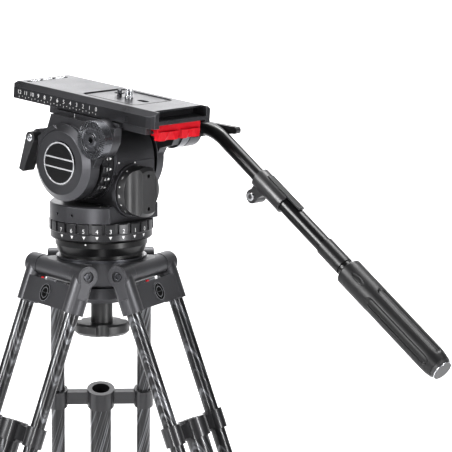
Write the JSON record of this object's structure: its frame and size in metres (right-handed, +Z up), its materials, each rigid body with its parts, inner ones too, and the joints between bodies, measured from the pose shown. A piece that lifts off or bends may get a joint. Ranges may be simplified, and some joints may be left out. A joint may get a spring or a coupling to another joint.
{
  "type": "video tripod with fluid head",
  "caption": "Fluid video head with sliding camera plate and pan bar, on a tripod of folding, telescoping twin-tube legs.",
  "frame": {"origin": "on the floor, under the pan axis at the middle of the three legs", "axes": "+Z up along the pan axis; +X towards the operator at rest; -Y is the side with the tilt drag dial"},
  "size_m": [0.6632, 0.512, 0.8345],
  "materials": {
    "black_anodised": "satin black anodised aluminium, fine blasted grain",
    "plate_anodised": "satin dark grey anodised aluminium",
    "crown_paint": "semi-matt black powder coat on a casting",
    "bright_ring": "turned bare aluminium",
    "black_screws": "black oxide steel",
    "steel": "machined stainless steel",
    "moulded_black": "glass-filled nylon, fine texture",
    "dial_black": "smooth black nylon with white pad-printed scale",
    "badge": "gloss black cap with a silver ring",
    "release_red": "moulded red acetal",
    "carbon_tube": "clear-coated carbon fibre",
    "grip_rubber": "black moulded rubber",
    "foot_rubber": "black rubber",
    "level_glass": "dark clear vial with a printed centre ring"
  },
  "bodies": {
    "crown": {"crown_casting": "crown_paint", "bowl_rim_ring": "bright_ring", "hinge_bolts": "black_screws"},
    "levelling": {"levelling_washer": "moulded_black"},
    "head_base": {"ball_base": "black_anodised", "tie_down_cup": "crown_paint"},
    "tie_down": {"tie_down_knob": "moulded_black"},
    "pan_drag": {"pan_drag_ring": "dial_black"},
    "pan": {"pan_housing": "black_anodised", "bubble_level": "level_glass", "main_body": "black_anodised", "tilt_bearings": "steel"},
    "pan_brake": {"pan_brake_lever": "moulded_black"},
    "counterbalance": {"counterbalance_knob": "moulded_black"},
    "tilt_drag": {"tilt_drag_dial": "dial_black"},
    "tilt": {"tilt_shaft": "steel", "tilt_arm_near": "black_anodised", "tilt_arm_far": "black_anodised", "cheek_cap": "badge", "plate_seat": "black_anodised", "handle_rosettes": "black_anodised", "rosette_screws": "black_screws"},
    "tilt_brake": {"tilt_brake_lever": "moulded_black"},
    "release": {"release_paddle": "release_red"},
    "plate": {"camera_plate": "plate_anodised", "plate_fittings": "steel"},
    "screw": {"camera_screw": "steel"},
    "bar": {"bar_hub": "black_anodised", "bar_arm": "black_anodised"},
    "bar_wing": {"bar_wing_lever": "moulded_black"},
    "bar_grip_end": {"bar_collar": "moulded_black", "bar_tube": "black_anodised", "bar_sleeve": "grip_rubber", "bar_grip": "grip_rubber", "bar_grip_cap": "moulded_black"},
    "bar_lock": {"bar_collar_lever": "moulded_black"},
    "leg_rear": {"leg_rear_bracket": "crown_paint", "leg_rear_upper_tubes": "carbon_tube", "leg_rear_stage_block": "crown_paint"},
    "leg_rear_upper_lock": {"leg_rear_upper_lever": "moulded_black"},
    "leg_rear_middle": {"leg_rear_middle_stage": "carbon_tube"},
    "leg_rear_lower_lock": {"leg_rear_lower_lever": "moulded_black"},
    "leg_rear_lower": {"leg_rear_lower_tube": "carbon_tube"},
    "leg_rear_foot": {"leg_rear_foot": "foot_rubber"},
    "leg_left": {"leg_left_bracket": "crown_paint", "leg_left_upper_tubes": "carbon_tube", "leg_left_stage_block": "crown_paint"},
    "leg_left_upper_lock": {"leg_left_upper_lever": "moulded_black"},
    "leg_left_middle": {"leg_left_middle_stage": "carbon_tube"},
    "leg_left_lower_lock": {"leg_left_lower_lever": "moulded_black"},
    "leg_left_lower": {"leg_left_lower_tube": "carbon_tube"},
    "leg_left_foot": {"leg_left_foot": "foot_rubber"},
    "leg_right": {"leg_right_bracket": "crown_paint", "leg_right_upper_tubes": "carbon_tube", "leg_right_stage_block": "crown_paint"},
    "leg_right_upper_lock": {"leg_right_upper_lever": "moulded_black"},
    "leg_right_middle": {"leg_right_middle_stage": "carbon_tube"},
    "leg_right_lower_lock": {"leg_right_lower_lever": "moulded_black"},
    "leg_right_lower": {"leg_right_lower_tube": "carbon_tube"},
    "leg_right_foot": {"leg_right_foot": "foot_rubber"}
  },
  "joints": [
    {"name": "level_roll", "type": "hinge", "parent": "crown", "child": "levelling", "pos_m": [0, 0, 0.6457], "axis": [1, 0, 0], "range_deg": [-3, 3]},
    {"name": "level_pitch", "type": "hinge", "parent": "levelling", "child": "head_base", "pos_m": [0, 0, 0.6457], "axis": [0, 1, 0], "range_deg": [-3, 3]},
    {"name": "tie_down_turn", "type": "hinge", "parent": "head_base", "child": "tie_down", "pos_m": [0, 0, 0.6457], "axis": [0, 0, 1], "continuous": true},
    {"name": "pan_drag_turn", "type": "hinge", "parent": "head_base", "child": "pan_drag", "pos_m": [0, 0, 0.6457], "axis": [0, 0, 1], "range_deg": [-75, 30]},
    {"name": "pan_turn", "type": "hinge", "parent": "head_base", "child": "pan", "pos_m": [0, 0, 0.6457], "axis": [0, 0, 1], "continuous": true},
    {"name": "pan_brake_turn", "type": "hinge", "parent": "pan", "child": "pan_brake", "pos_m": [-0.04367, 0.03664, 0.69571], "axis": [-0.766, 0.6428, 0], "range_deg": [-70, 0]},
    {"name": "counterbalance_turn", "type": "hinge", "parent": "pan", "child": "counterbalance", "pos_m": [0, 0, 0.7214], "axis": [1, 0, 0], "continuous": true},
    {"name": "tilt_drag_turn", "type": "hinge", "parent": "pan", "child": "tilt_drag", "pos_m": [0, 0, 0.75321], "axis": [0, 1, 0], "range_deg": [-75, 30]},
    {"name": "tilt_turn", "type": "hinge", "parent": "pan", "child": "tilt", "pos_m": [0, 0, 0.75321], "axis": [0, 1, 0], "range_deg": [-30, 35]},
    {"name": "tilt_brake_turn", "type": "hinge", "parent": "tilt", "child": "tilt_brake", "pos_m": [-0.04727, 0, 0.77693], "axis": [0, 1, 0], "range_deg": [0, 60]},
    {"name": "release_press", "type": "hinge", "parent": "tilt", "child": "release", "pos_m": [0.11199, 0, 0.79395], "axis": [0, 1, 0], "range_deg": [0, 12], "stiffness_Nm_per_rad": 0.6, "springref_deg": -17.19},
    {"name": "plate_slide", "type": "slide", "parent": "tilt", "child": "plate", "axis": [0.9968, 0, -0.0793], "range_m": [-0.03, 0.09]},
    {"name": "camera_screw_turn", "type": "hinge", "parent": "plate", "child": "screw", "pos_m": [0.04371, 0, 0.82346], "axis": [0.0793, 0, 0.9968], "continuous": true},
    {"name": "bar_angle", "type": "hinge", "parent": "tilt", "child": "bar", "pos_m": [0.05461, 0, 0.78397], "axis": [0, -1, 0], "range_deg": [-35, 60]},
    {"name": "bar_wing_turn", "type": "hinge", "parent": "bar", "child": "bar_wing", "pos_m": [0.05461, 0, 0.78397], "axis": [0, 1, 0], "range_deg": [-45, 25]},
    {"name": "bar_extend", "type": "slide", "parent": "bar", "child": "bar_grip_end", "axis": [0.8231, 0, -0.5678], "range_m": [0, 0.1]},
    {"name": "bar_lock_flip", "type": "hinge", "parent": "bar_grip_end", "child": "bar_lock", "pos_m": [0.18401, 0.076, 0.74156], "axis": [0, 1, 0], "range_deg": [-85, 0]},
    {"name": "leg_rear_fold", "type": "hinge", "parent": "crown", "child": "leg_rear", "pos_m": [-0.03741, 0.03612, 0.6324], "axis": [-0.6947, -0.7193, 0], "range_deg": [-25, 20]},
    {"name": "leg_rear_upper_lock_flip", "type": "hinge", "parent": "leg_rear", "child": "leg_rear_upper_lock", "pos_m": [-0.17007, 0.16423, 0.21224], "axis": [0.2484, -0.2399, 0.9385], "range_deg": [-110, 0]},
    {"name": "leg_rear_middle_slide", "type": "slide", "parent": "leg_rear", "child": "leg_rear_middle", "axis": [-0.2484, 0.2399, -0.9385], "range_m": [0, 0.23]},
    {"name": "leg_rear_lower_lock_flip", "type": "hinge", "parent": "leg_rear_middle", "child": "leg_rear_lower_lock", "pos_m": [-0.19267, 0.18606, 0.12684], "axis": [0.2484, -0.2399, 0.9385], "range_deg": [-110, 0]},
    {"name": "leg_rear_lower_slide", "type": "slide", "parent": "leg_rear_middle", "child": "leg_rear_lower", "axis": [-0.2484, 0.2399, -0.9385], "range_m": [0, 0.29]},
    {"name": "leg_rear_foot_swivel", "type": "hinge", "parent": "leg_rear_lower", "child": "leg_rear_foot", "pos_m": [-0.20134, 0.19443, 0.013], "axis": [-0.6947, -0.7193, 0], "range_deg": [-10, 10]},
    {"name": "leg_left_fold", "type": "hinge", "parent": "crown", "child": "leg_left", "pos_m": [-0.01258, -0.05045, 0.6324], "axis": [0.9703, -0.2419, 0], "range_deg": [-25, 20]},
    {"name": "leg_left_upper_lock_flip", "type": "hinge", "parent": "leg_left", "child": "leg_left_upper_lock", "pos_m": [-0.0572, -0.2294, 0.21224], "axis": [0.0835, 0.335, 0.9385], "range_deg": [-110, 0]},
    {"name": "leg_left_middle_slide", "type": "slide", "parent": "leg_left", "child": "leg_left_middle", "axis": [-0.0835, -0.335, -0.9385], "range_m": [0, 0.23]},
    {"name": "leg_left_lower_lock_flip", "type": "hinge", "parent": "leg_left_middle", "child": "leg_left_lower_lock", "pos_m": [-0.0648, -0.25989, 0.12684], "axis": [0.0835, 0.335, 0.9385], "range_deg": [-110, 0]},
    {"name": "leg_left_lower_slide", "type": "slide", "parent": "leg_left_middle", "child": "leg_left_lower", "axis": [-0.0835, -0.335, -0.9385], "range_m": [0, 0.29]},
    {"name": "leg_left_foot_swivel", "type": "hinge", "parent": "leg_left_lower", "child": "leg_left_foot", "pos_m": [-0.06771, -0.27158, 0.013], "axis": [0.9703, -0.2419, 0], "range_deg": [-10, 10]},
    {"name": "leg_right_fold", "type": "hinge", "parent": "crown", "child": "leg_right", "pos_m": [0.04999, 0.01433, 0.6324], "axis": [-0.2756, 0.9613, 0], "range_deg": [-25, 20]},
    {"name": "leg_right_upper_lock_flip", "type": "hinge", "parent": "leg_right", "child": "leg_right_upper_lock", "pos_m": [0.22727, 0.06517, 0.21224], "axis": [-0.3319, -0.0952, 0.9385], "range_deg": [-110, 0]},
    {"name": "leg_right_middle_slide", "type": "slide", "parent": "leg_right", "child": "leg_right_middle", "axis": [0.3319, 0.0952, -0.9385], "range_m": [0, 0.23]},
    {"name": "leg_right_lower_lock_flip", "type": "hinge", "parent": "leg_right_middle", "child": "leg_right_lower_lock", "pos_m": [0.25747, 0.07383, 0.12684], "axis": [-0.3319, -0.0952, 0.9385], "range_deg": [-110, 0]},
    {"name": "leg_right_lower_slide", "type": "slide", "parent": "leg_right_middle", "child": "leg_right_lower", "axis": [0.3319, 0.0952, -0.9385], "range_m": [0, 0.29]},
    {"name": "leg_right_foot_swivel", "type": "hinge", "parent": "leg_right_lower", "child": "leg_right_foot", "pos_m": [0.26905, 0.07715, 0.013], "axis": [-0.2756, 0.9613, 0], "range_deg": [-10, 10]}
  ]
}
